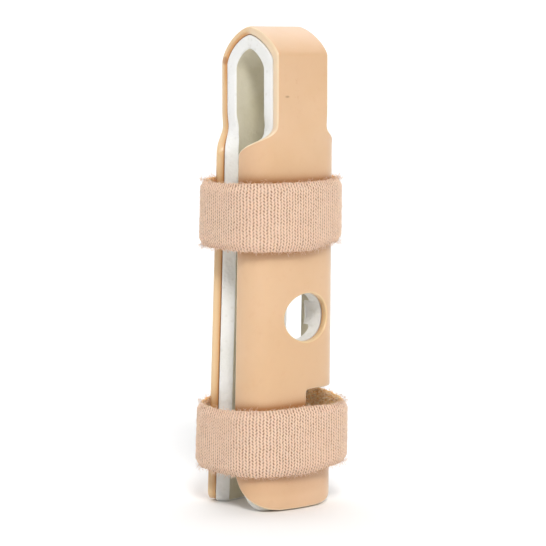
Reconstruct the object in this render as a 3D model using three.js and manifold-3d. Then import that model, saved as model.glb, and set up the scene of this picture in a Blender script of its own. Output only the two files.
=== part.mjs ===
// Finger splint: a plastic sheet with a foam lining, folded over the fingertip, and two strap loops.
// Millimetres, +Z up to the fingertip, -Y the front limb, +X across the finger.
// The origin is the middle of the bounding box, at the open ends that stand on the table.

import * as THREE from 'three';
import { mergeVertices } from 'three/addons/utils/BufferGeometryUtils.js';
import Module from 'manifold-3d';

// Driving sizes
const splintLength = 113; // open ends to the crest of the fold
const foldDepth = 20.6; // outside of the front limb to outside of the back limb, under the fold
const plasticWall = 1.9;
const foamWall = 3.0;
const layerGap = 0.3; // left between pieces that lie on each other
const stripWidth = 15.4; // the narrow sheet that runs over the fingertip

// Cross-section of the wide part of both limbs, seen from the outside
const crownWidth = 15.9; // the gently crowned face between the two corners
const crownRadius = 34;
const cornerRadius = 6.5;
const flattest = 0.001; // the least share of the crown, so that its radius stays a number

// Outlines of the two limbs
const shoulderHeight = 89.7; // the strip starts to widen here, going down
const wingHeight = 83.3; // and has its full width from here down
const leanPower = 1.2; // over 1 the limbs open out gradually, from the shoulder down
const limbs = {
  front: {
    side: -1,
    foldRise: 6.7, // crest of the fold above the straight part
    foldPower: 1.45, // outline of the fold: 2 is an ellipse, less is more pointed
    foldInnerDrop: 3.2, // the foam's inner face starts its turn this much lower
    lean: -1.0, // how far the open end stands out past the fold
    girthTop: 35.6, // full width along the bent sheet, at the wing height
    girthBottom: 37.8, // and at the open end
    cornerAcross: 10.8, // rounded corners of the foam at the open end
    cornerUp: 8.5,
  },
  back: {
    side: 1,
    foldRise: 8.5,
    foldPower: 1.58,
    foldInnerDrop: 1.4,
    lean: 3.9,
    girthTop: 24.0,
    girthBottom: 25.2,
    cornerAcross: 3.0,
    cornerUp: 3.0,
  },
};
const foamOverhang = 0.8; // the foam shows past the plastic along the wings
const plasticFoot = 0.3; // the plastic ends this much above the foam's open ends
const plasticRounding = 1.15; // its corners are this much rounder than the foam's

// Hole in the front limb
const holeWidth = 13.4;
const holeHeight = 11.3;
const holeOffset = 1.7; // to +X of the middle
const holeCentre = 45.3;
const holeDepth = 8.6; // cut this deep from the outside, through the foam of the right corner too
const holeSides = 40;

// Straps
const strapWidth = 16;
const strapThickness = 1.4;
const strapSlack = 3.0; // widest stand-off of a loop from the shell
const strapLift = 3.0; // the highest part of a loop sits this much above its front
const strapOverlapFrom = 150; // the doubled end at the back, in degrees round from the front
const strapOverlapTo = 205;
const upperStrapCentre = 69.2; // at the front
const lowerStrapCentre = 16.7;

// Strap slot, cut through the right wing beside the lower strap
const slotPlay = 1.8; // slot height over the strap width
const slotRise = 2.6; // slot centre above the strap centre
const slotEdge = 1.5; // left edge of the slot, to +X of the middle

// Shape of the two loops round the shell, with bearings from the front towards +X: stand-off as
// a share of the slack, lift as a share of the strap lift, and width as a share of the strap width
const loopShapes = {
  upper: [
    { bearing: 0, off: 0.5, lift: 0, width: 1 },
    { bearing: 50, off: 0.3, lift: 0.25, width: 0.94 },
    { bearing: 90, off: 0.5, lift: 0.5, width: 0.91 },
    { bearing: 130, off: 0.6, lift: 0.65, width: 0.96 },
    { bearing: 165, off: 0, lift: 0.7, width: 1 },
    { bearing: 195, off: 0, lift: 0.6, width: 1 },
    { bearing: 230, off: 0.7, lift: 0.15, width: 0.97 },
    { bearing: 270, off: 0.8, lift: 0, width: 0.96 },
    { bearing: 310, off: 0.65, lift: 0, width: 0.99 },
  ],
  lower: [
    { bearing: 0, off: 0.5, lift: 0, width: 1 },
    { bearing: 50, off: 0.95, lift: 0.15, width: 0.9 },
    { bearing: 90, off: 1, lift: 0.7, width: 0.88 },
    { bearing: 130, off: 0.7, lift: 1, width: 0.94 },
    { bearing: 165, off: 0, lift: 0.95, width: 1 },
    { bearing: 195, off: 0, lift: 0.7, width: 1 },
    { bearing: 230, off: 0.55, lift: 0.05, width: 0.96 },
    { bearing: 270, off: 0.55, lift: -0.15, width: 0.95 },
    { bearing: 310, off: 0.45, lift: -0.05, width: 0.98 },
  ],
};

// Sizes that follow
const lining = plasticWall + layerGap + foamWall; // outside of the shell to inside of the foam
const crownAngle = crownWidth / 2 / crownRadius;
const crownEdge = crownRadius * Math.sin(crownAngle);
const crownDrop = crownRadius * (1 - Math.cos(crownAngle));
const cornerLength = cornerRadius * (Math.PI / 2 - crownAngle);
const cornerCentreX = crownEdge - cornerRadius * Math.sin(crownAngle);
const cornerCentreDepth = crownDrop + cornerRadius * Math.cos(crownAngle);

// The two layers' outlines
const plasticEdge = { overhang: 0, end: plasticFoot, rounding: plasticRounding };
const foamEdge = { overhang: foamOverhang, end: 0, rounding: 1 };

function smooth(share) {
  const s = Math.min(1, Math.max(0, share));
  return s * s * (3 - 2 * s);
}

// How far the outline has widened from the strip to the wings
function wingShare(z) {
  return smooth((shoulderHeight - z) / (shoulderHeight - wingHeight));
}

// Height where a limb's outside starts to turn into the fold
function limbTop(limb) {
  return splintLength - limb.foldRise;
}

// How much of its crown a height has: none where the fold starts, all of it in the wings
function crownShare(limb, z) {
  return smooth((limbTop(limb) - z) / (limbTop(limb) - shoulderHeight));
}

// Half width along the sheet at a height
function halfWidth(limb, z, edge) {
  const low = Math.min(1, z / wingHeight);
  const wings = THREE.MathUtils.lerp(limb.girthBottom, limb.girthTop, low) / 2;
  const full = THREE.MathUtils.lerp(stripWidth / 2, wings + edge.overhang, wingShare(z));
  const below = 1 - Math.min(1, (z - edge.end) / (limb.cornerUp * edge.rounding));
  return full - limb.cornerAcross * edge.rounding * (1 - Math.sqrt(1 - below ** 2));
}

// Outside of a limb at a height, on the middle line
function limbFace(limb, z) {
  const down = Math.max(0, 1 - z / shoulderHeight);
  return limb.side * (foldDepth / 2 + limb.lean * down ** leanPower);
}

// Bent section: distance along the sheet to sideways place, depth and turn of the surface
function section(along, share) {
  const length = Math.abs(along);
  const sign = Math.sign(along);
  const radius = crownRadius / Math.max(share, flattest);
  const edgeAngle = crownWidth / 2 / radius;
  if (length <= crownWidth / 2) {
    const turn = length / radius;
    return { x: sign * radius * Math.sin(turn), depth: radius * (1 - Math.cos(turn)), turn: sign * turn };
  }
  const past = length - crownWidth / 2;
  const turn = Math.min(Math.PI / 2, edgeAngle + past / cornerRadius);
  const straight = Math.max(0, past - cornerRadius * (Math.PI / 2 - edgeAngle));
  const bendX = cornerRadius * (Math.sin(turn) - Math.sin(edgeAngle));
  const bendDepth = cornerRadius * (Math.cos(edgeAngle) - Math.cos(turn));
  return {
    x: sign * (radius * Math.sin(edgeAngle) + bendX),
    depth: radius * (1 - Math.cos(edgeAngle)) + bendDepth + straight,
    turn: sign * turn,
  };
}

// A point of the sheet on a limb, at a depth below the outer surface
function limbPoint(limb, z, along, depth) {
  const bent = section(along, crownShare(limb, z));
  const inward = bent.depth + depth * Math.cos(bent.turn);
  const high = smooth((z - shoulderHeight) / (limbTop(limb) - shoulderHeight));
  const sink = limb.foldInnerDrop * (depth / lining) * high;
  const x = bent.x - depth * Math.sin(bent.turn);
  return new THREE.Vector3(x, limbFace(limb, z) - limb.side * inward, z - sink);
}

// A point of the sheet on the fold, with the angle running from the front limb to the back limb
function foldPoint(angle, along, depth) {
  const limb = angle < Math.PI / 2 ? limbs.front : limbs.back;
  const drop = limb.foldInnerDrop * (depth / lining);
  const reach = foldDepth / 2 - depth;
  const rise = limb.foldRise - depth + drop;
  const power = 2 / limb.foldPower;
  const y = limb.side * reach * Math.abs(Math.cos(angle)) ** power;
  const z = limbTop(limb) - drop + rise * Math.abs(Math.sin(angle)) ** power;
  return new THREE.Vector3(along, y, z);
}

function steps(from, to, count) {
  return Array.from({ length: count }, (_, i) => from + ((to - from) * i) / count);
}

// Grid of the sheet: rows up each stretch of a limb and over the fold, and columns across as
// shares of the half width
const rowCounts = { corner: 6, wing: 5, shoulder: 9, strip: 4, fold: 16 };
const halfColumns = [0.2, 0.4, 0.52, 0.64, 0.76, 0.88, 1];
const columns = [...halfColumns.map((c) => -c).reverse(), 0, ...halfColumns];

// Heights of the grid rows on a limb, from its end up to the fold
function limbHeights(limb, edge) {
  const quarter = steps(0, Math.PI / 2, rowCounts.corner);
  const cornerUp = limb.cornerUp * edge.rounding;
  return [
    ...quarter.map((a) => edge.end + cornerUp * (1 - Math.cos(a))),
    ...steps(edge.end + cornerUp, wingHeight, rowCounts.wing),
    ...steps(wingHeight, shoulderHeight, rowCounts.shoulder),
    ...steps(shoulderHeight, limbTop(limb), rowCounts.strip),
  ];
}

// Every row is a function that gives the point at a share across and a depth
function sheetRows(edge) {
  const rows = [];
  const limbRow = (limb, z) => (share, depth) =>
    limbPoint(limb, z, share * halfWidth(limb, z, edge), depth);
  for (const z of limbHeights(limbs.front, edge)) rows.push(limbRow(limbs.front, z));
  for (const angle of [...steps(0, Math.PI, rowCounts.fold), Math.PI]) {
    rows.push((share, depth) => foldPoint(angle, (share * stripWidth) / 2, depth));
  }
  for (const z of limbHeights(limbs.back, edge).reverse()) rows.push(limbRow(limbs.back, z));
  return rows;
}

function closedGeometry(points, faces) {
  const geometry = new THREE.BufferGeometry();
  const numbers = points.flatMap((p) => p.toArray());
  geometry.setAttribute('position', new THREE.Float32BufferAttribute(numbers, 3));
  geometry.setIndex(faces.flat());
  return mergeVertices(geometry, 1e-4);
}

// A sheet between two depths, closed round its edges
function sheet(outerDepth, innerDepth, edge) {
  const rows = sheetRows(edge);
  const count = columns.length;
  const points = [];
  for (const depth of [outerDepth, innerDepth]) {
    for (const row of rows) for (const share of columns) points.push(row(share, depth));
  }
  const outer = (r, c) => r * count + c;
  const inner = (r, c) => (rows.length + r) * count + c;
  const faces = [];
  const quad = (a, b, c, d) => faces.push([a, b, c], [a, c, d]);
  const lastRow = rows.length - 1;
  const lastColumn = count - 1;
  for (let r = 0; r < lastRow; r++) {
    for (let c = 0; c < lastColumn; c++) {
      quad(outer(r, c), outer(r, c + 1), outer(r + 1, c + 1), outer(r + 1, c));
      quad(inner(r, c), inner(r + 1, c), inner(r + 1, c + 1), inner(r, c + 1));
    }
    quad(outer(r, 0), outer(r + 1, 0), inner(r + 1, 0), inner(r, 0));
    quad(outer(r, lastColumn), inner(r, lastColumn), inner(r + 1, lastColumn), outer(r + 1, lastColumn));
  }
  for (let c = 0; c < lastColumn; c++) {
    quad(outer(0, c), inner(0, c), inner(0, c + 1), outer(0, c + 1));
    quad(outer(lastRow, c), outer(lastRow, c + 1), inner(lastRow, c + 1), inner(lastRow, c));
  }
  return closedGeometry(points, faces);
}

const wasm = await Module();
wasm.setup();

function solidOf(geometry) {
  const bare = geometry.clone();
  bare.deleteAttribute('normal');
  bare.deleteAttribute('uv');
  const merged = mergeVertices(bare, 1e-4);
  return new wasm.Manifold(new wasm.Mesh({
    numProp: 3,
    vertProperties: Float32Array.from(merged.attributes.position.array),
    triVerts: Uint32Array.from(merged.index.array),
  }));
}

function geometryOf(solid) {
  const mesh = solid.getMesh();
  const geometry = new THREE.BufferGeometry();
  geometry.setAttribute('position', new THREE.BufferAttribute(Float32Array.from(mesh.vertProperties), 3));
  geometry.setIndex(new THREE.BufferAttribute(Uint32Array.from(mesh.triVerts), 1));
  return geometry;
}

// The oval hole runs straight back through the front limb
function holeCutter() {
  const geometry = new THREE.CylinderGeometry(0.5, 0.5, 2 * holeDepth, holeSides);
  geometry.scale(holeWidth, 1, holeHeight);
  geometry.translate(holeOffset, -foldDepth / 2, holeCentre);
  return solidOf(geometry);
}

// The slot takes the right part of the front limb, out past its free edge
function slotCutter() {
  const reach = limbs.front.girthBottom / 2;
  const height = strapWidth + slotPlay;
  const geometry = new THREE.BoxGeometry(reach, foldDepth, height);
  const middle = lowerStrapCentre + slotRise;
  geometry.translate(slotEdge + reach / 2, -foldDepth / 2 + foamOverhang, middle);
  return solidOf(geometry);
}

// Stops on a strap's way round: per rounded corner, per crowned face and per straight side
const stopCounts = { corner: 7, crown: 6, side: 4 };

// The line that a tight strap would take round the shell at a height, with its outward direction
function tightLine(z) {
  const front = limbFace(limbs.front, z);
  const back = limbFace(limbs.back, z);
  const edge = crownWidth / 2;
  const half = edge + cornerLength;
  const stops = [
    ...steps(-half, -edge, stopCounts.corner),
    ...steps(-edge, edge, stopCounts.crown),
    ...steps(edge, half, stopCounts.corner),
    half,
  ];
  const line = [];
  const addFace = (limb, face) => {
    for (const along of stops) {
      const bent = section(along, 1);
      const x = -limb.side * bent.x;
      const y = face - limb.side * bent.depth;
      const out = { x: -limb.side * Math.sin(bent.turn), y: limb.side * Math.cos(bent.turn) };
      line.push({ x, y, out });
    }
  };
  const addSide = (x, from, to) => {
    const out = { x: Math.sign(x), y: 0 };
    for (const y of steps(from, to, stopCounts.side).slice(1)) line.push({ x, y, out });
  };
  const sideX = cornerCentreX + cornerRadius;
  const frontY = front + cornerCentreDepth;
  const backY = back - cornerCentreDepth;
  addFace(limbs.front, front);
  addSide(sideX, frontY, backY);
  addFace(limbs.back, back);
  addSide(-sideX, backY, frontY);
  const middle = (front + back) / 2;
  for (const stop of line) {
    const bearing = THREE.MathUtils.radToDeg(Math.atan2(stop.x, middle - stop.y));
    stop.bearing = (bearing + 360) % 360;
  }
  return line;
}

// Smooth reading of one column of a loop's table at a bearing
function loopValue(rows, column, bearing) {
  const count = rows.length;
  const next = rows.findIndex((row) => row.bearing > bearing);
  const at = (i) => rows[(i + count) % count];
  const after = next < 0 ? count : next;
  const from = at(after - 1);
  const to = at(after);
  const span = (to.bearing - from.bearing + 360) % 360;
  return THREE.MathUtils.lerp(from[column], to[column], smooth((bearing - from.bearing) / span));
}

// A closed strap loop round the shell, double where its end is stuck down at the back
function strap(centre, loopShape) {
  const low = tightLine(centre - strapWidth / 2);
  const high = tightLine(centre + strapWidth / 2);
  const points = [];
  const place = (stop, z, thickness) => {
    const off = layerGap + strapSlack * loopValue(loopShape, 'off', stop.bearing) + thickness;
    const lift = strapLift * loopValue(loopShape, 'lift', stop.bearing);
    points.push(new THREE.Vector3(stop.x + off * stop.out.x, stop.y + off * stop.out.y, z + lift));
  };
  const doubled = (bearing) => bearing > strapOverlapFrom && bearing < strapOverlapTo;
  const ring = (i, thickness) => {
    const half = (strapWidth * loopValue(loopShape, 'width', high[i].bearing)) / 2;
    place(low[i], centre - half, 0);
    place(high[i], centre + half, 0);
    place(high[i], centre + half, thickness);
    place(low[i], centre - half, thickness);
  };
  low.forEach((stop, i) => {
    const before = low[(i + low.length - 1) % low.length];
    const now = doubled(stop.bearing);
    if (now && !doubled(before.bearing)) ring(i, strapThickness);
    ring(i, now ? 2 * strapThickness : strapThickness);
    const after = low[(i + 1) % low.length];
    if (now && !doubled(after.bearing)) ring(i, strapThickness);
  });
  const rings = points.length / 4;
  const faces = [];
  for (let r = 0; r < rings; r++) {
    const next = (r + 1) % rings;
    for (let k = 0; k < 4; k++) {
      const a = r * 4 + k;
      const b = r * 4 + ((k + 1) % 4);
      const c = next * 4 + ((k + 1) % 4);
      const d = next * 4 + k;
      faces.push([a, b, c], [a, c, d]);
    }
  }
  return closedGeometry(points, faces);
}

function finish(colour, roughness) {
  return new THREE.MeshStandardMaterial({ color: colour, roughness, metalness: 0 });
}

function piece(name, geometry, material) {
  const mesh = new THREE.Mesh(geometry, material);
  mesh.name = name;
  return mesh;
}

const peachPlastic = finish(0xe8be94, 0.38);
const whiteFoam = finish(0xf0f0ee, 0.95);
const peachKnit = finish(0xeec8ac, 0.9);

function withCuts(geometry) {
  return geometryOf(solidOf(geometry).subtract(holeCutter()).subtract(slotCutter()));
}

const shell = withCuts(sheet(0, plasticWall, plasticEdge));
const foam = withCuts(sheet(plasticWall + layerGap, lining, foamEdge));

const splint = new THREE.Group();
splint.add(
  piece('splint_shell', shell, peachPlastic),
  piece('foam_lining', foam, whiteFoam),
  piece('upper_strap', strap(upperStrapCentre, loopShapes.upper), peachKnit),
  piece('lower_strap', strap(lowerStrapCentre, loopShapes.lower), peachKnit),
);

// The origin goes to the middle of the box round the splint, at its open ends
const box = new THREE.Box3().setFromObject(splint);
const middle = box.getCenter(new THREE.Vector3());
splint.position.set(-middle.x, -middle.y, -box.min.z);

export default splint;
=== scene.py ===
# Finger splint: the looks of the plastic shell, the foam lining and the two knitted straps.
# The forms are in millimetres, in the part's own frame before its origin was moved to the
# middle of its box, and placed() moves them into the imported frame, in metres.

import math

import bpy
import numpy as np
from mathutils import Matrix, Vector, geometry, kdtree

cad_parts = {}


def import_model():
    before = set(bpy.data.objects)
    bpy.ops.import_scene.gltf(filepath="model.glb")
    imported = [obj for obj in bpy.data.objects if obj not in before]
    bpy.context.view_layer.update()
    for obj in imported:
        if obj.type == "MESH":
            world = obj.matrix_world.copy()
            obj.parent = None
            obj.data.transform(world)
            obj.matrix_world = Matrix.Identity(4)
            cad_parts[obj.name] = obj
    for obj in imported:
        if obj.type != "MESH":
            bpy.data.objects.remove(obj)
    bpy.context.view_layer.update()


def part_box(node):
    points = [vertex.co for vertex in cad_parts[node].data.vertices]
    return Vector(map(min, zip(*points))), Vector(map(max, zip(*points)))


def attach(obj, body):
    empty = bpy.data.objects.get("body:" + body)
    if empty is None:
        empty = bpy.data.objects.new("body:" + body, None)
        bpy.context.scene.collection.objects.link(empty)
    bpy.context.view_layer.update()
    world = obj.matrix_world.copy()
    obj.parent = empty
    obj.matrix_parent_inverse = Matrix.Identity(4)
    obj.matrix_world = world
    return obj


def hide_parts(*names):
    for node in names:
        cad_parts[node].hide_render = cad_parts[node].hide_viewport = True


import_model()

MM = 0.001

# Driving sizes, the same as the solids have, in millimetres
SPLINT_LENGTH = 113.0
FOLD_DEPTH = 20.6
PLASTIC_WALL = 1.9
FOAM_WALL = 3.0
LAYER_GAP = 0.3
STRIP_WIDTH = 15.4
CROWN_WIDTH = 15.9
CROWN_RADIUS = 34.0
CORNER_RADIUS = 6.5
SHOULDER_HEIGHT = 89.7
WING_HEIGHT = 83.3
FLATTEST = 0.001
LEAN_POWER = 1.2
FRONT = dict(side=-1, fold_rise=6.7, fold_power=1.45, inner_drop=3.2, lean=-1.0,
             girth_top=35.6, girth_bottom=37.8, corner_across=10.8, corner_up=8.5)
BACK = dict(side=1, fold_rise=8.5, fold_power=1.58, inner_drop=1.4, lean=3.9,
            girth_top=24.0, girth_bottom=25.2, corner_across=3.0, corner_up=3.0)
FOAM_OVERHANG = 0.8
PLASTIC_FOOT = 0.3
HOLE_WIDTH = 13.4
HOLE_HEIGHT = 11.3
HOLE_OFFSET = 1.7
HOLE_CENTRE = 45.3
HOLE_DEPTH = 8.6
STRAP_WIDTH = 16.0
STRAP_THICKNESS = 1.4
STRAP_SLACK = 3.0
STRAP_LIFT = 3.0
UPPER_CENTRE = 69.2
LOWER_CENTRE = 16.7
SLOT_PLAY = 1.8
SLOT_RISE = 2.6
SLOT_EDGE = 1.5

# Loop shapes: bearing, stand-off share, lift share and width share
UPPER_LOOP = [(0, 0.5, 0, 1), (50, 0.3, 0.25, 0.94), (90, 0.5, 0.5, 0.91), (130, 0.6, 0.65, 0.96),
              (165, 0, 0.7, 1), (195, 0, 0.6, 1), (230, 0.7, 0.15, 0.97), (270, 0.8, 0, 0.96),
              (310, 0.65, 0, 0.99)]
LOWER_LOOP = [(0, 0.5, 0, 1), (50, 0.95, 0.15, 0.9), (90, 1, 0.7, 0.88), (130, 0.7, 1, 0.94),
              (165, 0, 0.95, 1), (195, 0, 0.7, 1), (230, 0.55, 0.05, 0.96),
              (270, 0.55, -0.15, 0.95), (310, 0.45, -0.05, 0.98)]

# Where the looks differ a little from the solids
PLASTIC_ROUNDING = 1.3  # the plastic's corners are this much rounder than the foam's
OVERLAP_FROM = 152.0    # a strap's doubled end, in degrees round from the front
OVERLAP_TO = 203.0
CROWN_TOP = 93.5        # the face is flat above this height
CROWN_BOTTOM = 85.5     # and has its whole crown below this one
CROWN_SWELL = 0.3       # the crown's middle stands this much in front of the flat face

# Finer detail that only the looks have
FOAM_SEAT = 0.08        # the foam stops this far from the plastic
PLASTIC_ROUND = 0.45    # rounding of the sheet's cut edges
FOAM_ROUND = 0.45
RIM_SHARE = 0.7         # rings nearer the cut edge than this share of its rounding belong to it
KNIT_PITCH = 0.77       # size of a stitch
PIT_DEPTH = 0.42        # depth of the pits between stitches
BAND_TAPER = 0.8        # a strap thins by this much towards its edges
TAPER_REACH = 2.0       # over this much of its width
BAND_EDGE = 0.5         # reach of a strap's rounded edge
RAGGED_REACH = 0.7      # a strap's edge is ragged over this much of its width
OVERLAP_GAP = 0.06      # between a strap's end and the strap under it
OVERLAP_RAMP = 5.0      # length over which the end climbs on to it
FUZZ_COUNT = 2600       # loose fibres on each strap
FUZZ_RADIUS = 0.028
FUZZ_AT_EDGE = 0.72     # share of them that grow along the edges
LONGEST_FUZZ = 1.5
PILE_COUNT = 3600       # loops tried on each strap's inside
PILE_RADIUS = 0.045
PILE_HEIGHT = 0.75
PILE_ROOM = 0.35        # no loop where the shell is nearer than this

# Mesh steps
MESH_STEP = 0.62        # spacing of points on the sheets
ROW_SHARE = 0.87        # their rows lie closer by this share, for even triangles
RIM_CLEARANCE = 0.6     # no point nearer to a rim than this share of the spacing
RIM_STEP = 0.42
LINE_STEP = 0.4         # along the limbs' edges
SHOULDER_STEP = 0.12
CORNER_STEPS = 26
ROUNDING_STEPS = 5
HOLE_STEPS = 110
CUTTER_STEPS = 96
LOOP_STEPS = 120
POINTS_AT_ONCE = 4000

# Sizes that follow
LINING = PLASTIC_WALL + LAYER_GAP + FOAM_WALL
CROWN_ANGLE = CROWN_WIDTH / 2 / CROWN_RADIUS
CORNER_LENGTH = CORNER_RADIUS * (math.pi / 2 - CROWN_ANGLE)
CORNER_DEPTH = CROWN_RADIUS * (1 - math.cos(CROWN_ANGLE)) + CORNER_RADIUS * math.cos(CROWN_ANGLE)
FRONT_TOP = SPLINT_LENGTH - FRONT["fold_rise"]
BACK_TOP = SPLINT_LENGTH - BACK["fold_rise"]
FOLD_RUN = 28.0         # length given to the fold on the developed sheet
RUN = FRONT_TOP + FOLD_RUN + BACK_TOP

shell_low, shell_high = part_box("splint_shell")
SHIFT = Vector(((shell_low.x + shell_high.x) / 2, shell_low.y + FOLD_DEPTH / 2 * MM, 0))


def placed(points):
    """Points in millimetres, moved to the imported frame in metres."""
    return np.asarray(points, float) * MM + np.array(SHIFT)


def smooth(share):
    s = np.clip(share, 0, 1)
    return s * s * (3 - 2 * s)


def new_object(name, data):
    made = bpy.data.objects.new(name, data)
    bpy.context.scene.collection.objects.link(made)
    return made


# The sheet's shape, as the solids have it apart from the crown's height and swell

def wing_share(z):
    return smooth((SHOULDER_HEIGHT - z) / (SHOULDER_HEIGHT - WING_HEIGHT))


def full_half(limb, z, overhang):
    """Half width of a limb's sheet at a height, without the rounded corners of its end."""
    low = np.minimum(1, z / WING_HEIGHT)
    wings = (limb["girth_bottom"] + (limb["girth_top"] - limb["girth_bottom"]) * low) / 2
    share = wing_share(z)
    return STRIP_WIDTH / 2 * (1 - share) + (wings + overhang) * share


def limb_face(limb, z):
    down = np.maximum(0, 1 - z / SHOULDER_HEIGHT)
    return limb["side"] * (FOLD_DEPTH / 2 + limb["lean"] * down ** LEAN_POWER)


def section(along, share=1.0):
    """Sideways place, depth and turn of the bent sheet, at a distance from its middle.

    The share says how much of its crown the sheet has there.
    """
    length, sign = np.abs(along), np.sign(along)
    radius = CROWN_RADIUS / np.maximum(share, FLATTEST)
    edge_angle = CROWN_WIDTH / 2 / radius
    crown = length <= CROWN_WIDTH / 2
    past = np.maximum(0, length - CROWN_WIDTH / 2)
    turn = np.where(crown, length / radius,
                    np.minimum(math.pi / 2, edge_angle + past / CORNER_RADIUS))
    straight = np.maximum(0, past - CORNER_RADIUS * (math.pi / 2 - edge_angle))
    bend_x = CORNER_RADIUS * (np.sin(turn) - np.sin(edge_angle))
    bend_depth = CORNER_RADIUS * (np.cos(edge_angle) - np.cos(turn))
    x = np.where(crown, radius * np.sin(turn), radius * np.sin(edge_angle) + bend_x)
    depth = np.where(crown, radius * (1 - np.cos(turn)),
                     radius * (1 - np.cos(edge_angle)) + bend_depth + straight)
    return sign * x, depth, sign * turn


def limb_points(limb, z, along, depth):
    top = SPLINT_LENGTH - limb["fold_rise"]
    high = smooth((z - SHOULDER_HEIGHT) / (top - SHOULDER_HEIGHT))
    crown = smooth((CROWN_TOP - z) / (CROWN_TOP - CROWN_BOTTOM))
    x, sunk, turn = section(along, crown)
    inward = sunk + depth * np.cos(turn) - CROWN_SWELL * crown
    sink = limb["inner_drop"] * (depth / LINING) * high
    side = x - depth * np.sin(turn)
    return np.stack([side, limb_face(limb, z) - limb["side"] * inward, z - sink], -1)


def fold_points(angle, along, depth):
    made = []
    for limb in (FRONT, BACK):
        drop = limb["inner_drop"] * (depth / LINING)
        reach = FOLD_DEPTH / 2 - depth
        rise = limb["fold_rise"] - depth + drop
        power = 2 / limb["fold_power"]
        y = limb["side"] * reach * np.abs(np.cos(angle)) ** power
        top = SPLINT_LENGTH - limb["fold_rise"]
        z = top - drop + rise * np.abs(np.sin(angle)) ** power
        made.append(np.stack([along, y, z], -1))
    return np.where((angle < math.pi / 2)[..., None], made[0], made[1])


def sheet_points(along, run, depth):
    """Points of the sheet: across, along its run from the front end to the back end, and inward."""
    along, run, depth = np.broadcast_arrays(np.asarray(along, float), run, depth)
    on_front = run <= FRONT_TOP
    on_back = run >= FRONT_TOP + FOLD_RUN
    front = limb_points(FRONT, np.minimum(run, FRONT_TOP), along, depth)
    back = limb_points(BACK, np.minimum(RUN - run, BACK_TOP), along, depth)
    angle = np.clip((run - FRONT_TOP) / FOLD_RUN, 0, 1) * math.pi
    fold = fold_points(angle, along, depth)
    return np.where(on_front[..., None], front, np.where(on_back[..., None], back, fold))


# Outlines on the developed sheet

def side_line(overhang, end, rounding):
    """The sheet's +X edge from the front end to the back end, as (across, run) points."""
    def limb_side(limb):
        turn = np.linspace(0, math.pi / 2, CORNER_STEPS)
        corner_z = end + limb["corner_up"] * rounding * (1 - np.cos(turn))
        cut_back = limb["corner_across"] * rounding * (1 - np.sin(turn))
        corner = full_half(limb, corner_z, overhang) - cut_back
        top = SPLINT_LENGTH - limb["fold_rise"]
        z = np.concatenate([np.arange(corner_z[-1] + 0.3, WING_HEIGHT, LINE_STEP),
                            np.arange(WING_HEIGHT, SHOULDER_HEIGHT, SHOULDER_STEP),
                            np.arange(SHOULDER_HEIGHT, top, LINE_STEP), [top]])
        line = np.stack([full_half(limb, z, overhang), z], 1)
        return np.concatenate([np.stack([corner, corner_z], 1), line])
    front = limb_side(FRONT)
    back = limb_side(BACK)[::-1]
    back = np.stack([back[:, 0], RUN - back[:, 1]], 1)
    return np.concatenate([front, back])


def with_slot(line):
    """The same edge with the strap slot cut in from it."""
    middle = LOWER_CENTRE + SLOT_RISE
    low = middle - (STRAP_WIDTH + SLOT_PLAY) / 2
    high = middle + (STRAP_WIDTH + SLOT_PLAY) / 2
    wing = line[line[:, 1] < WING_HEIGHT]
    edge = [np.interp(z, wing[:, 1], wing[:, 0]) for z in (low, high)]
    notch = np.array([[edge[0], low], [SLOT_EDGE, low], [SLOT_EDGE, high], [edge[1], high]])
    return np.concatenate([line[line[:, 1] < low], notch, line[line[:, 1] > high]])


def even_loop(points, step, rounds):
    """A closed line with even spacing, its corners eased by a few rounds of averaging."""
    closed = np.concatenate([points, points[:1]])
    gone = np.concatenate([[0], np.cumsum(np.linalg.norm(np.diff(closed, axis=0), axis=1))])
    count = int(gone[-1] / step)
    at = np.linspace(0, gone[-1], count, endpoint=False)
    loop = np.stack([np.interp(at, gone, closed[:, k]) for k in (0, 1)], 1)
    for _ in range(rounds):
        loop = (np.roll(loop, 1, 0) + 2 * loop + np.roll(loop, -1, 0)) / 4
    return loop


def loop_normals(loop):
    """Outward directions of a counter-clockwise loop."""
    ahead = np.roll(loop, -1, 0) - np.roll(loop, 1, 0)
    ahead /= np.linalg.norm(ahead, axis=1)[:, None]
    return np.stack([ahead[:, 1], -ahead[:, 0]], 1)


def inside(points, loop):
    """Which points lie inside a closed loop, by counting crossings, some thousand at a time."""
    x0, y0 = loop[:, 0], loop[:, 1]
    x1, y1 = np.roll(x0, -1), np.roll(y0, -1)
    found = []
    for part in np.array_split(points, 1 + len(points) // POINTS_AT_ONCE):
        x, y = part[:, 0][:, None], part[:, 1][:, None]
        spans = (y0 > y) != (y1 > y)
        with np.errstate(divide="ignore", invalid="ignore"):
            cross = x0 + (y - y0) * (x1 - x0) / (y1 - y0)
        found.append((spans & (x < cross)).sum(1) % 2 == 1)
    return np.concatenate(found)


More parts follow.
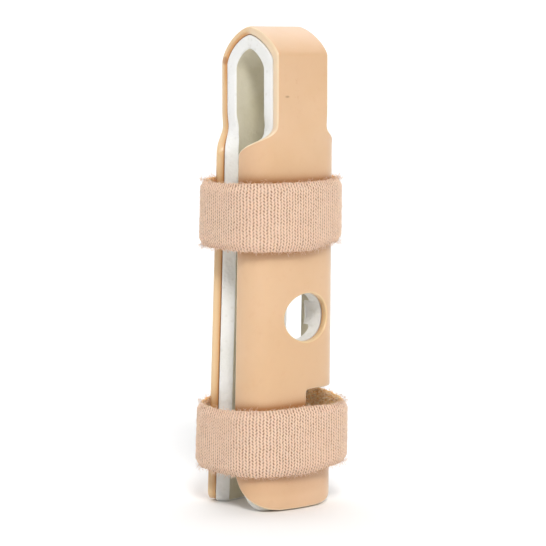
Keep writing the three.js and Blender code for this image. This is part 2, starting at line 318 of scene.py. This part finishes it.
def filled(outer, hole):
    """Triangles that fill a loop, and leave out a hole, with evenly spread points inside."""
    low, high = outer.min(0), outer.max(0)
    xs = np.arange(low[0], high[0], MESH_STEP)
    ys = np.arange(low[1], high[1], MESH_STEP * ROW_SHARE)
    grid = np.array([(x + (j % 2) * MESH_STEP / 2, y) for j, y in enumerate(ys) for x in xs])
    keep = inside(grid, outer)
    rims = [outer] + ([hole] if hole is not None else [])
    if hole is not None:
        keep &= ~inside(grid, hole)
    grid = grid[keep]
    tree = kdtree.KDTree(sum(len(r) for r in rims))
    for i, p in enumerate(np.concatenate(rims)):
        tree.insert((p[0], p[1], 0), i)
    tree.balance()
    far = [tree.find((p[0], p[1], 0))[2] > RIM_CLEARANCE * MESH_STEP for p in grid]
    grid = grid[np.array(far)]
    points = np.concatenate(rims + [grid])
    edges, start = [], 0
    for rim in rims:
        count = len(rim)
        edges += [(start + i, start + (i + 1) % count) for i in range(count)]
        start += count
    made = geometry.delaunay_2d_cdt([Vector(p) for p in points], edges, [], 1, 1e-6)
    place, faces, origin = made[0], made[2], made[3]
    corners = np.array([tuple(p) for p in place])
    middles = np.array([corners[list(f)].mean(0) for f in faces])
    keep = inside(middles, outer)
    if hole is not None:
        keep &= ~inside(middles, hole)
    faces = [f for f, kept in zip(faces, keep) if kept]
    index, extra = [], []
    for point, source in zip(place, origin):
        index.append(source[0] if source else len(points) + len(extra))
        if not source:
            extra.append(tuple(point))
    if extra:
        points = np.concatenate([points, extra])
    return points, [[index[i] for i in f] for f in faces]


def across_at(side, depth):
    """Distance along the bent sheet whose surface, at a depth, lies at a sideways place."""
    along = np.linspace(-14, 14, 561)
    x, _, turn = section(along)
    return np.interp(side, x - depth * np.sin(turn), along)


def rim_profile(first, last, radius):
    """Inset and depth of the rings that round a cut edge, from the outer face to the inner one."""
    turn = np.linspace(0, math.pi / 2, ROUNDING_STEPS)
    inset = radius * (1 - np.sin(turn))
    depth = radius * (1 - np.cos(turn))
    middle = [(0.0, (first + last) / 2)]
    outer = list(zip(inset, first + depth))
    inner = [(i, last - d) for i, d in zip(inset[::-1], depth[::-1])]
    return outer + middle + inner


class Body:
    """Collects points and faces of one mesh, with a value per point that the material reads."""

    def __init__(self):
        self.points, self.faces, self.values = [], [], []
        self.count = 0

    def add(self, points, value):
        start = self.count
        self.points.append(np.asarray(points, float).reshape(-1, 3))
        self.values.append(np.broadcast_to(np.asarray(value, float), (len(self.points[-1]),)))
        self.count += len(self.points[-1])
        return start

    def ring(self, first, second, count):
        for i in range(count):
            j = (i + 1) % count
            self.faces.append((first + i, first + j, second + j, second + i))

    def make(self, name, value_name):
        mesh = bpy.data.meshes.new(name)
        points = placed(np.concatenate(self.points))
        mesh.from_pydata(points.tolist(), [], [list(map(int, f)) for f in self.faces])
        mesh.validate()
        values = np.concatenate(self.values).astype(np.float32)
        attribute = mesh.attributes.new(value_name, "FLOAT", "POINT")
        attribute.data.foreach_set("value", values)
        mesh.shade_smooth()
        return new_object(name, mesh)


def sheet_body(first, last, overhang, end, rounding, radius, easing, hole, outside):
    """The closed sheet between two depths, with rounded cut edges.

    The value goes from 0.5 to 1 across the edges. It is 0 on the inner face, and given outside.
    """
    right = side_line(overhang, end, rounding)
    left = right * [-1, 1]
    outline = np.concatenate([with_slot(right), left[::-1]])
    loop = even_loop(outline, RIM_STEP, easing)
    out = loop_normals(loop)
    turn = np.linspace(0, 2 * math.pi, HOLE_STEPS, endpoint=False)
    ring_directions = np.stack([np.cos(turn), -np.sin(turn)], 1)

    def hole_loop(inset, depth):
        half = np.array([HOLE_WIDTH / 2, HOLE_HEIGHT / 2]) + inset
        place = np.array([HOLE_OFFSET, HOLE_CENTRE]) + half * ring_directions
        return np.stack([across_at(place[:, 0], depth), place[:, 1]], 1)

    profile = rim_profile(first, last, radius)
    body = Body()
    for rim in (["outline", "hole"] if hole else ["outline"]):
        starts = []
        for inset, depth in profile:
            line = loop - out * inset if rim == "outline" else hole_loop(inset, depth)
            through = (depth - first) / (last - first)
            on_face = outside if through == 0 else 0.0
            on_edge = 0.5 + 0.5 * through if inset < radius * RIM_SHARE else on_face
            start = body.add(sheet_points(line[:, 0], line[:, 1], depth), on_edge)
            starts.append((start, len(line)))
        for (a, count), (b, _) in zip(starts, starts[1:]):
            body.ring(b, a, count)
        if rim == "outline":
            outline_starts = starts
        else:
            hole_starts = starts
    for which, (inset, depth) in ((0, profile[0]), (-1, profile[-1])):
        outer = loop - out * inset
        inner = hole_loop(inset, depth) if hole else None
        points, faces = filled(outer, inner)
        shared = len(outer) + (len(inner) if hole else 0)
        on_face = outside if which == 0 else 0.0
        new = body.add(sheet_points(points[shared:, 0], points[shared:, 1], depth), on_face)

        def index(i):
            if i < len(outer):
                return outline_starts[which][0] + i
            if i < shared:
                return hole_starts[which][0] + i - len(outer)
            return new + i - shared
        for face in faces:
            corner = points[face]
            a, b = corner[1] - corner[0], corner[2] - corner[0]
            up = a[0] * b[1] - a[1] * b[0] > 0
            order = [index(i) for i in face]
            body.faces.append(order if up == (which == 0) else order[::-1])
    return body


shell_body = sheet_body(0, PLASTIC_WALL, overhang=0, end=PLASTIC_FOOT, rounding=PLASTIC_ROUNDING,
                        radius=PLASTIC_ROUND, easing=4, hole=True, outside=0)
shell = shell_body.make("shell_moulding", "edge")
foam_body = sheet_body(PLASTIC_WALL + FOAM_SEAT, LINING, overhang=FOAM_OVERHANG, end=0, rounding=1,
                       radius=FOAM_ROUND, easing=8, hole=False, outside=0.5)
foam = foam_body.make("foam_pad", "edge")


def cut_hole(obj):
    """Cuts the oval hole straight back through a mesh, and marks its wall as a cut edge."""
    turn = np.linspace(0, 2 * math.pi, CUTTER_STEPS, endpoint=False)
    ring = np.stack([HOLE_OFFSET + HOLE_WIDTH / 2 * np.cos(turn), 0 * turn,
                     HOLE_CENTRE + HOLE_HEIGHT / 2 * np.sin(turn)], 1)
    near, far = -FOLD_DEPTH, -FOLD_DEPTH / 2 + HOLE_DEPTH
    body = Body()
    a = body.add(ring + [0, near, 0], 0)
    b = body.add(ring + [0, far, 0], 0)
    body.ring(b, a, len(turn))
    body.faces += [list(range(a, a + len(turn))), list(range(b, b + len(turn)))[::-1]]
    cutter = body.make("cutter", "edge")
    cut = obj.modifiers.new("hole", "BOOLEAN")
    cut.object, cut.operation, cut.solver = cutter, "DIFFERENCE", "EXACT"
    graph = bpy.context.evaluated_depsgraph_get()
    mesh = bpy.data.meshes.new_from_object(obj.evaluated_get(graph))
    obj.modifiers.clear()
    obj.data = mesh
    bpy.data.objects.remove(cutter)
    place = (np.array([tuple(v.co) for v in mesh.vertices]) - np.array(SHIFT)) / MM
    reach = np.hypot((place[:, 0] - HOLE_OFFSET) / (HOLE_WIDTH / 2),
                     (place[:, 2] - HOLE_CENTRE) / (HOLE_HEIGHT / 2))
    on_wall = (np.abs(reach - 1) < 0.01) & (place[:, 1] < far + 0.01)
    values = np.zeros(len(place), np.float32)
    mesh.attributes["edge"].data.foreach_get("value", values)
    values[on_wall] = 1
    mesh.attributes["edge"].data.foreach_set("value", values)


cut_hole(foam)
foam.data.set_sharp_from_angle(angle=math.radians(50))


# Straps

def tight_line(z, steps):
    """The line that a tight strap takes round the shell at a height: x, y and outward direction."""
    front, back = limb_face(FRONT, z), limb_face(BACK, z)
    half = CROWN_WIDTH / 2 + CORNER_LENGTH
    rows = []
    for limb, face in ((FRONT, front), (BACK, back)):
        along = np.linspace(-half, half, steps)
        x, depth, turn = section(along)
        side = -limb["side"]
        rows.append(np.stack([side * x, face + side * depth, side * np.sin(turn),
                              -side * np.cos(turn)], 1))
        start_y = rows[-1][-1, 1]
        end_y = back - CORNER_DEPTH if limb is FRONT else front + CORNER_DEPTH
        y = np.linspace(start_y, end_y, steps // 3)[1:-1]
        x = rows[-1][-1, 0]
        rows.append(np.stack([x + 0 * y, y, np.sign(x) + 0 * y, 0 * y], 1))
    line = np.concatenate(rows)
    bearing = np.degrees(np.arctan2(line[:, 0], (front + back) / 2 - line[:, 1])) % 360
    return np.column_stack([line, bearing])


def loop_value(table, column, bearing):
    rows = np.array(table, float)
    bearings = np.append(rows[:, 0], 360)
    values = np.append(rows[:, column], rows[0, column])
    i = np.clip(np.searchsorted(bearings, bearing, "right") - 1, 0, len(rows) - 1)
    share = smooth((bearing - bearings[i]) / (bearings[i + 1] - bearings[i]))
    return values[i] * (1 - share) + values[i + 1] * share


def add_tube(body, line, radius, tone):
    """Adds a three-sided closed tube along a line."""
    sides = np.array([0, 2, 4]) * math.pi / 3
    ahead = np.gradient(line, axis=0)
    ahead /= np.linalg.norm(ahead, axis=1)[:, None] + 1e-9
    side = np.cross(ahead, [0.3, 0.2, 0.93])
    side /= np.linalg.norm(side, axis=1)[:, None] + 1e-9
    up = np.cross(ahead, side)
    starts = []
    for k in range(len(line)):
        around = np.outer(np.cos(sides), side[k]) + np.outer(np.sin(sides), up[k])
        starts.append(body.add(line[k] + radius * around, tone))
    for a, b in zip(starts, starts[1:]):
        body.ring(a, b, 3)
    body.faces.append([starts[0] + k for k in (2, 1, 0)])
    body.faces.append([starts[-1] + k for k in (0, 1, 2)])


class Band:
    """A strap: a band that starts under its own end at the back and goes once round and on."""

    def __init__(self, centre, table, seed):
        self.centre, self.rng = centre, np.random.default_rng(seed)
        low = tight_line(centre - STRAP_WIDTH / 2, LOOP_STEPS)
        high = tight_line(centre + STRAP_WIDTH / 2, LOOP_STEPS)
        start = int(np.argmin(np.abs(high[:, 4] - OVERLAP_FROM)))
        low, high = np.roll(low, -start, 0), np.roll(high, -start, 0)
        bearing = high[:, 4]
        off = LAYER_GAP + STRAP_SLACK * loop_value(table, 1, bearing)
        lift = STRAP_LIFT * loop_value(table, 2, bearing)
        width = STRAP_WIDTH * loop_value(table, 3, bearing)
        rows = np.column_stack([low[:, :2], high[:, :2], high[:, 2:4], off, lift, width])
        again = int(((bearing >= OVERLAP_FROM - 1e-9) & (bearing <= OVERLAP_TO)).sum())
        rows = np.concatenate([rows, rows[:again]])
        middle = (rows[:, 0:2] + rows[:, 2:4]) / 2
        middle = middle + rows[:, 4:6] * (rows[:, 6:7] + STRAP_THICKNESS / 2)
        gone = np.concatenate([[0], np.cumsum(np.linalg.norm(np.diff(middle, axis=0), axis=1))])
        self.length = gone[-1]
        self.at = np.arange(0, self.length, KNIT_PITCH / 4)
        rows = np.stack([np.interp(self.at, gone, rows[:, k]) for k in range(9)], 1)
        once = gone[-again - 1]
        climbed = smooth((self.at - once + OVERLAP_RAMP) / OVERLAP_RAMP)
        rows[:, 6] += (STRAP_THICKNESS + OVERLAP_GAP) * climbed
        self.rows = rows

    def place(self, i, w, depth):
        """Points at path rows i, across shares w from -1 to 1, at a depth from the inner face."""
        r = self.rows[i]
        share = ((w + 1) / 2)[..., None]
        flat = r[..., 0:2] * (1 - share) + r[..., 2:4] * share
        flat = flat + r[..., 4:6] * (r[..., 6] + depth)[..., None]
        z = self.centre + r[..., 7] + w * r[..., 8] / 2
        return np.concatenate([flat, z[..., None]], -1)

    def knit(self, s, w_mm):
        """Height of the knit, from 0 on a rib to -1 in a pit, at a place on the strap."""
        zigzag = 0.14 * np.sin(2 * math.pi * w_mm / KNIT_PITCH)
        u = s / KNIT_PITCH + 0.06 * np.sin(w_mm * 1.7) + zigzag
        cell_u = np.floor(u).astype(int)
        v = w_mm / KNIT_PITCH + 0.06 * np.sin(s * 0.9) + 0.05 * np.sin(s * 3.3 + w_mm)
        v = v + 0.5 * (cell_u % 2)
        cell_v = np.floor(v).astype(int)
        strength = 0.5 + 0.5 * self.cells[cell_u % 97, cell_v % 89]
        groove = 0.5 - 0.5 * np.cos(2 * math.pi * u)
        pit = groove * (0.5 - 0.5 * np.cos(2 * math.pi * v))
        return -(0.56 * strength * pit + 0.44 * groove ** 1.5)

    def mesh(self, name):
        self.cells = self.rng.random((97, 89))
        turn = np.linspace(0, math.pi, 7)[1:-1]
        flat = STRAP_WIDTH / 2 - BAND_EDGE
        outer_w = np.arange(-flat, flat + 1e-6, KNIT_PITCH / 4)
        inner_w = np.linspace(flat, -flat, 34)
        half = STRAP_THICKNESS / 2
        top = np.stack([flat + BAND_EDGE * np.sin(turn), half + half * np.cos(turn)], 1)
        low = np.stack([-top[::-1, 0], top[::-1, 1]], 1)
        profile = np.concatenate([np.stack([outer_w, 0 * outer_w + 2 * half], 1), top,
                                  np.stack([inner_w, 0 * inner_w], 1), low])
        count, rows = len(profile), len(self.at)
        w = np.broadcast_to(profile[:, 0], (rows, count))
        depth = np.broadcast_to(profile[:, 1], (rows, count)).copy()
        s = np.broadcast_to(self.at[:, None], (rows, count))
        knit = self.knit(s, w)
        shown = smooth((depth - 0.3) / (STRAP_THICKNESS - 0.3))
        ragged = np.cumsum(self.rng.normal(size=rows + 12))
        ragged = ragged - np.convolve(ragged, np.ones(13) / 13, "same")
        ragged = np.convolve(ragged, [0.5, 0.5], "same")
        ragged = 0.035 * np.clip(ragged[:rows], -2, 2)[:, None]
        at_edge = smooth((np.abs(w) - STRAP_WIDTH / 2 + RAGGED_REACH) / RAGGED_REACH)
        taper = smooth((np.abs(w) - STRAP_WIDTH / 2 + TAPER_REACH) / TAPER_REACH)
        depth *= 1 - BAND_TAPER / STRAP_THICKNESS * taper
        depth += PIT_DEPTH * knit * shown * (1 - 0.6 * at_edge)
        depth += 0.09 * self.rng.normal(size=depth.shape).clip(-2, 2) * (1 - shown) * (1 - at_edge)
        depth += 0.045 * self.rng.normal(size=depth.shape).clip(-2, 2) * shown
        across = w / (STRAP_WIDTH / 2) * (1 + ragged * at_edge / 4)
        i = np.broadcast_to(np.arange(rows)[:, None], (rows, count))
        points = self.place(i, across, depth)
        value = np.where(shown > 0.5, 1 + knit, -1).astype(float)
        body = Body()
        body.add(points, value.ravel())
        for r in range(rows - 1):
            body.ring((r + 1) * count, r * count, count)
        body.faces.append(list(range(count)))
        body.faces.append([(rows - 1) * count + k for k in reversed(range(count))])
        return body.make(name, "knit")

    def pile_line(self, i):
        """A loop of the pile on the inner face, or None where there is no room for it."""
        r = self.rng
        room = self.rows[i, 6] - LAYER_GAP
        if room < PILE_ROOM:
            return None
        w = r.uniform(-0.98, 0.98)
        tall = min(PILE_HEIGHT, room * 0.75) * r.uniform(0.6, 1)
        base = self.place(np.array(i), np.array(w), np.array(0.0))
        out = np.append(self.rows[i, 4:6], 0)
        lean = r.normal(size=3) * 0.5
        reach = r.normal(size=3) * 0.3
        share = np.linspace(0, 1, 6)[:, None]
        line = base - out * tall * np.sin(math.pi * share) + reach * share
        return line + lean * np.sin(math.pi * share) * 0.3

    def fuzz_line(self, i):
        """A loose fibre, most often along an edge, or else on the outer face."""
        r = self.rng
        at_edge = r.random() < FUZZ_AT_EDGE
        w = r.choice([-1, 1]) * r.uniform(0.955, 1.0) if at_edge else r.uniform(-1, 1)
        depth = r.uniform(0.1, STRAP_THICKNESS) if at_edge else STRAP_THICKNESS - 0.12
        base = self.place(np.array(i), np.array(w), np.array(depth))
        out = np.append(self.rows[i, 4:6], 0)
        ahead = np.array([-out[1], out[0], 0])
        grow = out * r.uniform(0, 0.5) + ahead * r.normal() * 0.7
        if at_edge:
            grow = grow + np.array([0, 0, np.sign(w) * r.uniform(0.2, 1.0)])
        else:
            grow = grow * 0.8 + np.array([0, 0, r.normal() * 0.7])
        grow /= np.linalg.norm(grow) + 1e-9
        long = r.gamma(2.2, 0.2) if at_edge else r.uniform(0.3, 0.8)
        long = min(long, LONGEST_FUZZ)
        share = np.linspace(0, 1, 5)[:, None]
        curl = r.normal(size=3) * 0.35
        return base + grow * long * share + curl * long * np.sin(math.pi * share)

    def fibres(self, name, count, inner):
        """Loose fibres along the edges and on the face, or the loops of the pile inside."""
        body = Body()
        radius = PILE_RADIUS if inner else FUZZ_RADIUS
        for _ in range(count):
            i = int(self.rng.integers(2, len(self.at) - 3))
            line = self.pile_line(i) if inner else self.fuzz_line(i)
            if line is not None:
                add_tube(body, line, radius, self.rng.random())
        return body.make(name, "tone")


bands = {
    "upper_strap": Band(UPPER_CENTRE, UPPER_LOOP, 11),
    "lower_strap": Band(LOWER_CENTRE, LOWER_LOOP, 23),
}


# Materials

def display(r, g, b):
    """A colour given as it shows on a screen, 0 to 255, as the linear colour that shaders take."""
    share = [c / 255 for c in (r, g, b)]
    return [c / 12.92 if c <= 0.04045 else ((c + 0.055) / 1.055) ** 2.4 for c in share] + [1]


def set_range(node, low, high, to_low, to_high):
    """Makes a Map Range node smooth, and sets where it starts and ends."""
    node.interpolation_type = "SMOOTHSTEP"
    ends = (("From Min", low), ("From Max", high), ("To Min", to_low), ("To Max", to_high))
    for name, number in ends:
        node.inputs[name].default_value = number


class Finish:
    """A node-based material, with short calls that add a node and return its output."""

    def __init__(self, name):
        self.material = bpy.data.materials.new(name)
        self.material.use_nodes = True
        self.tree = self.material.node_tree
        self.shader = self.tree.nodes["Principled BSDF"]
        place = self.tree.nodes.new("ShaderNodeTexCoord")
        self.place = place.outputs["Object"]

    def put(self, value, socket):
        if isinstance(value, bpy.types.NodeSocket):
            self.tree.links.new(value, socket)
        else:
            socket.default_value = value

    def moved(self, scale, location=(0, 0, 0)):
        node = self.tree.nodes.new("ShaderNodeMapping")
        self.put(self.place, node.inputs["Vector"])
        node.inputs["Scale"].default_value = scale
        node.inputs["Location"].default_value = location
        return node.outputs["Vector"]

    def noise(self, scale, detail, vector=None):
        node = self.tree.nodes.new("ShaderNodeTexNoise")
        self.put(vector or self.place, node.inputs["Vector"])
        node.inputs["Scale"].default_value = scale
        node.inputs["Detail"].default_value = detail
        node.inputs["Roughness"].default_value = 0.55
        return node.outputs["Fac"]

    def cells(self, scale):
        node = self.tree.nodes.new("ShaderNodeTexVoronoi")
        self.put(self.place, node.inputs["Vector"])
        node.inputs["Scale"].default_value = scale
        return node.outputs["Distance"]

    def value(self, name):
        node = self.tree.nodes.new("ShaderNodeAttribute")
        node.attribute_name = name
        return node.outputs["Fac"]

    def spread(self, value, low, high, to_low=0.0, to_high=1.0):
        node = self.tree.nodes.new("ShaderNodeMapRange")
        self.put(value, node.inputs["Value"])
        set_range(node, low, high, to_low, to_high)
        return node.outputs["Result"]

    def math(self, kind, a, b):
        node = self.tree.nodes.new("ShaderNodeMath")
        node.operation = kind
        self.put(a, node.inputs[0])
        self.put(b, node.inputs[1])
        return node.outputs[0]

    def mix(self, factor, a, b):
        node = self.tree.nodes.new("ShaderNodeMix")
        node.data_type = "RGBA"
        self.put(factor, node.inputs[0])
        self.put(a, node.inputs[6])
        self.put(b, node.inputs[7])
        return node.outputs[2]

    def tint(self, colour, where, share, other):
        """A colour that goes a share of the way to another one, where the mask is 1."""
        return self.mix(self.math("MULTIPLY", where, share), colour, other)

    def split(self, vector):
        node = self.tree.nodes.new("ShaderNodeSeparateXYZ")
        self.put(vector, node.inputs[0])
        return node.outputs

    def distance_to(self, point, scale):
        """Distance from a point, measured in a frame stretched by scale."""
        node = self.tree.nodes.new("ShaderNodeVectorMath")
        node.operation = "LENGTH"
        spot = self.moved(scale, [-p * s for p, s in zip(point, scale)])
        self.put(spot, node.inputs[0])
        return node.outputs["Value"]

    def spot(self, point, scale, outer, inner):
        """A mask round a point given in millimetres: 1 within inner, and 0 past outer, in metres."""
        return self.spread(self.distance_to(placed(point), scale), outer, inner)

    def openness(self, reach):
        """How open the surface is, from 0 where something covers it within reach to 1."""
        node = self.tree.nodes.new("ShaderNodeAmbientOcclusion")
        node.inputs["Distance"].default_value = reach
        return node.outputs["AO"]

    def bump(self, height, distance, strength=1.0, under=None):
        node = self.tree.nodes.new("ShaderNodeBump")
        node.inputs["Strength"].default_value = strength
        node.inputs["Distance"].default_value = distance
        self.put(height, node.inputs["Height"])
        if under is not None:
            self.put(under, node.inputs["Normal"])
        return node.outputs["Normal"]

    def set(self, **sockets):
        for name, value in sockets.items():
            self.put(value, self.shader.inputs[name.replace("_", " ")])


def plastic():
    f = Finish("peach_plastic")
    _, y, z = f.split(f.place)

    # The face: cloudy, with rosy patches and a fine grain
    cloud = f.spread(f.noise(38, 4), 0.35, 0.68)
    colour = f.mix(cloud, display(225, 184, 141), display(231, 192, 152))
    rosy = f.spread(f.noise(24, 2, f.moved((1, 1, 0.35), (3, 1, 5))), 0.45, 0.7)
    colour = f.tint(colour, rosy, 0.35, display(234, 190, 158))
    fine = f.spread(f.noise(420, 3), 0.55, 0.75)
    colour = f.tint(colour, fine, 0.12, display(214, 160, 118))

    # The cut edges: pale in front. Round the hole, on the back limb and at the fold they take deeper
    # orange tones, deepest next to the foam and at the fold; these deeper tones are painted shade
    edge = f.value("edge")
    at_hole = f.spot([HOLE_OFFSET, -FOLD_DEPTH / 2, HOLE_CENTRE], (1, 0.2, 1), 0.0105, 0.009)
    behind = f.math("MAXIMUM", f.spread(y, -0.003, 0.000), at_hole)
    within = f.spread(edge, 0.68, 0.95)
    high = f.spread(z, 0.098, 0.103)
    cut_shade_tone = f.mix(high, display(226, 178, 122), display(214, 152, 84))
    back_cut_with_shade = f.mix(within, display(238, 206, 160), cut_shade_tone)
    cut = f.mix(behind, display(246, 222, 188), back_cut_with_shade)
    colour = f.tint(colour, f.spread(edge, 0.1, 0.5), 0.85, cut)

    # Small marks: a nick in the fold's edge, and a dark speck on the front
    nick = f.spot([-7.7, 8.9, 105.0], (1, 1, 1), 0.0013, 0.0005)
    colour = f.tint(colour, nick, 0.6, display(168, 104, 50))
    speck = f.spot([-4.8, -10.3, 96.8], (1, 0.2, 2.4), 0.0009, 0.0002)
    colour = f.tint(colour, speck, 0.5, display(140, 92, 56))

    # Painted shade: the colour deepens to brown where something lies close over it, such as the
    # straps, but not near the floor
    painted_strap_shade = f.math("MULTIPLY", f.spread(f.openness(0.008), 0.94, 0.5), 0.85)
    colour = f.tint(colour, painted_strap_shade, f.spread(z, 0.003, 0.006), display(186, 126, 70))

    # A scuff beside the speck, over all the rest
    scuff = f.spot([-1.9, -10.3, 97.0], (3.4, 0.2, 0.5), 0.004, 0.001)
    scuff = f.math("MULTIPLY", scuff, f.spread(f.noise(900, 4), 0.5, 0.7))
    colour = f.tint(colour, scuff, 0.35, display(206, 150, 108))

    # Fine peel, long scratches and a slight wave
    long_scratch = f.noise(300, 6, f.moved((9, 9, 0.35)))
    normal = f.bump(f.noise(750, 2), 0.00006, 0.35)
    normal = f.bump(f.spread(long_scratch, 0.62, 0.74), 0.00003, 0.5, normal)
    normal = f.bump(f.noise(60, 2), 0.0006, 0.35, normal)
    rough = f.spread(f.noise(180, 4), 0.3, 0.75, 0.34, 0.5)
    f.set(Base_Color=colour, Roughness=rough, Normal=normal, Subsurface_Weight=0.12,
          Subsurface_Radius=(1.0, 0.6, 0.35), Subsurface_Scale=0.0014, IOR=1.48,
          Coat_Weight=0.45, Coat_Roughness=0.28)
    return f.material


def foam_finish():
    f = Finish("white_foam")
    edge = f.value("edge")
    pores = f.cells(1500)
    big_pores = f.cells(520)
    mottle = f.noise(90, 4)
    skin = f.mix(f.spread(mottle, 0.35, 0.7), display(216, 210, 190), display(204, 197, 172))
    cut = f.mix(f.spread(mottle, 0.3, 0.7), display(250, 250, 248), display(240, 240, 236))
    colour = f.mix(f.spread(edge, 0.1, 0.5), skin, cut)
    # Painted shade: the hollows of the big pores are a little darker
    painted_pore_shade = f.spread(big_pores, 0.28, 0.08)
    colour = f.tint(colour, painted_pore_shade, 0.16, display(190, 184, 166))
    normal = f.bump(pores, 0.00012, 0.6)
    normal = f.bump(big_pores, 0.0002, 0.45, normal)
    f.set(Base_Color=colour, Roughness=0.92, Normal=normal, Subsurface_Weight=0.25,
          Subsurface_Radius=(1.0, 1.0, 0.9), Subsurface_Scale=0.0012, Sheen_Weight=0.1)
    return f.material


def knit_finish():
    f = Finish("peach_knit")
    knit = f.value("knit")
    strand = f.noise(2600, 4)
    patch = f.spread(f.noise(55, 3), 0.35, 0.7)
    # Painted shade: the knit's pits take the dark colour and its ribs the light one
    colour = f.mix(f.spread(knit, 0.2, 0.92), display(144, 98, 68), display(245, 211, 185))
    colour = f.tint(colour, f.spread(strand, 0.4, 0.75), 0.35, display(255, 236, 220))
    colour = f.tint(colour, patch, 0.3, display(236, 198, 172))
    inside_face = f.spread(knit, 0.0, -0.5)
    tuft = f.spread(f.noise(1700, 4), 0.4, 0.65)
    pile = f.mix(tuft, display(238, 186, 126), display(255, 224, 180))
    colour = f.mix(inside_face, colour, pile)
    normal = f.bump(strand, 0.0001, 0.7)
    f.set(Base_Color=colour, Roughness=0.9, Normal=normal, Sheen_Weight=0.15, Sheen_Roughness=0.5,
          Sheen_Tint=(1.0, 0.9, 0.82, 1), Subsurface_Weight=0.25,
          Subsurface_Radius=(1.0, 0.6, 0.35), Subsurface_Scale=0.0008)
    return f.material


def fibre_finish(name, light, dark):
    f = Finish(name)
    colour = f.mix(f.value("tone"), dark, light)
    colour = f.tint(colour, f.noise(2000, 2), 0.25, display(255, 240, 225))
    f.set(Base_Color=colour, Roughness=0.7, Sheen_Weight=0.3)
    return f.material


def floor_finish():
    f = Finish("studio_floor")
    colour = f.mix(f.noise(3, 2), (0.965, 0.965, 0.965, 1), (0.98, 0.98, 0.98, 1))
    f.set(Base_Color=colour, Roughness=0.8, Specular_IOR_Level=0.2)
    return f.material


def dress(obj, finish, node=None):
    obj.data.materials.clear()
    obj.data.materials.append(finish)
    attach(obj, "root")
    if node:
        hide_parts(node)


dress(shell, plastic(), "splint_shell")
dress(foam, foam_finish(), "foam_lining")

knit_material = knit_finish()
fuzz_material = fibre_finish("loose_fibre", display(252, 226, 206), display(228, 184, 152))
pile_material = fibre_finish("pile_loop", display(255, 240, 218), display(246, 204, 154))
for name, band in bands.items():
    strap = band.mesh(name + "_band")
    dress(strap, knit_material, name)
    fuzz = band.fibres(name + "_fuzz", FUZZ_COUNT, inner=False)
    dress(fuzz, fuzz_material)
    pile = band.fibres(name + "_pile", PILE_COUNT, inner=True)
    dress(pile, pile_material)


# Stage, light and camera

BACKDROP_SIDE = (0.64, 0.77, 0.0)       # the way to the bright side of the room
ROOM_FRONT = 0.14                       # its brightness in front of the splint
ROOM_BACK = 1.15                        # and behind it
FLOOR_REACH = 3.0                       # metres
CAMERA_PLACE = [-347.7, -413.8, 107.5]  # millimetres
CAMERA_HEADING = -40                    # degrees
CAMERA_TILT = 5.54
CAMERA_LENS = 151.6


def floor():
    mesh = bpy.data.meshes.new("floor")
    ways = ((-1, -1), (1, -1), (1, 1), (-1, 1))
    corners = [(x * FLOOR_REACH, y * FLOOR_REACH, 0) for x, y in ways]
    mesh.from_pydata(corners, [], [(0, 1, 2, 3)])
    made = new_object("floor", mesh)
    mesh.materials.append(floor_finish())


def broad_light(name, toward, share, width, colour):
    """A soft light from one side, which gives a facing surface this share of full white."""
    light = bpy.data.lights.new(name, "SUN")
    light.energy, light.angle, light.color = math.pi * share, math.radians(width), colour
    made = new_object(name, light)
    made.rotation_euler = Vector(toward).to_track_quat("Z", "Y").to_euler()


def world():
    """A white room, brighter behind the splint than in front of it, that shows as plain white."""
    made = bpy.data.worlds.new("studio")
    made.use_nodes = True
    tree = made.node_tree
    background = tree.nodes["Background"]
    background.inputs["Color"].default_value = (1, 1, 1, 1)
    place = tree.nodes.new("ShaderNodeTexCoord")
    behind = tree.nodes.new("ShaderNodeVectorMath")
    behind.operation = "DOT_PRODUCT"
    behind.inputs[1].default_value = BACKDROP_SIDE
    tree.links.new(place.outputs["Generated"], behind.inputs[0])
    spread = tree.nodes.new("ShaderNodeMapRange")
    set_range(spread, -0.2, 0.8, ROOM_FRONT, ROOM_BACK)
    tree.links.new(behind.outputs["Value"], spread.inputs["Value"])
    seen = tree.nodes.new("ShaderNodeLightPath")
    strength = tree.nodes.new("ShaderNodeMath")
    strength.operation = "MAXIMUM"
    tree.links.new(spread.outputs["Result"], strength.inputs[0])
    tree.links.new(seen.outputs["Is Camera Ray"], strength.inputs[1])
    tree.links.new(strength.outputs[0], background.inputs["Strength"])
    bpy.context.scene.world = made


def camera():
    data = bpy.data.cameras.new("camera")
    data.lens, data.sensor_width = CAMERA_LENS, 36.0
    data.clip_start, data.clip_end = 0.05, 20
    made = new_object("camera", data)
    made.location = placed(CAMERA_PLACE)
    heading, tilt = math.radians(CAMERA_HEADING), math.radians(CAMERA_TILT)
    made.rotation_euler = (math.pi / 2 - tilt, 0, heading)
    bpy.context.scene.camera = made


floor()
world()
camera()
broad_light("key", (-0.42, -0.64, 0.64), share=0.58, width=15, colour=(1.0, 0.995, 0.985))
broad_light("overhead", (0.1, 0.1, 1.0), share=0.34, width=100, colour=(1.0, 1.0, 1.0))
bpy.context.scene.view_settings.view_transform = "Standard"
bpy.context.scene.view_settings.look = "None"
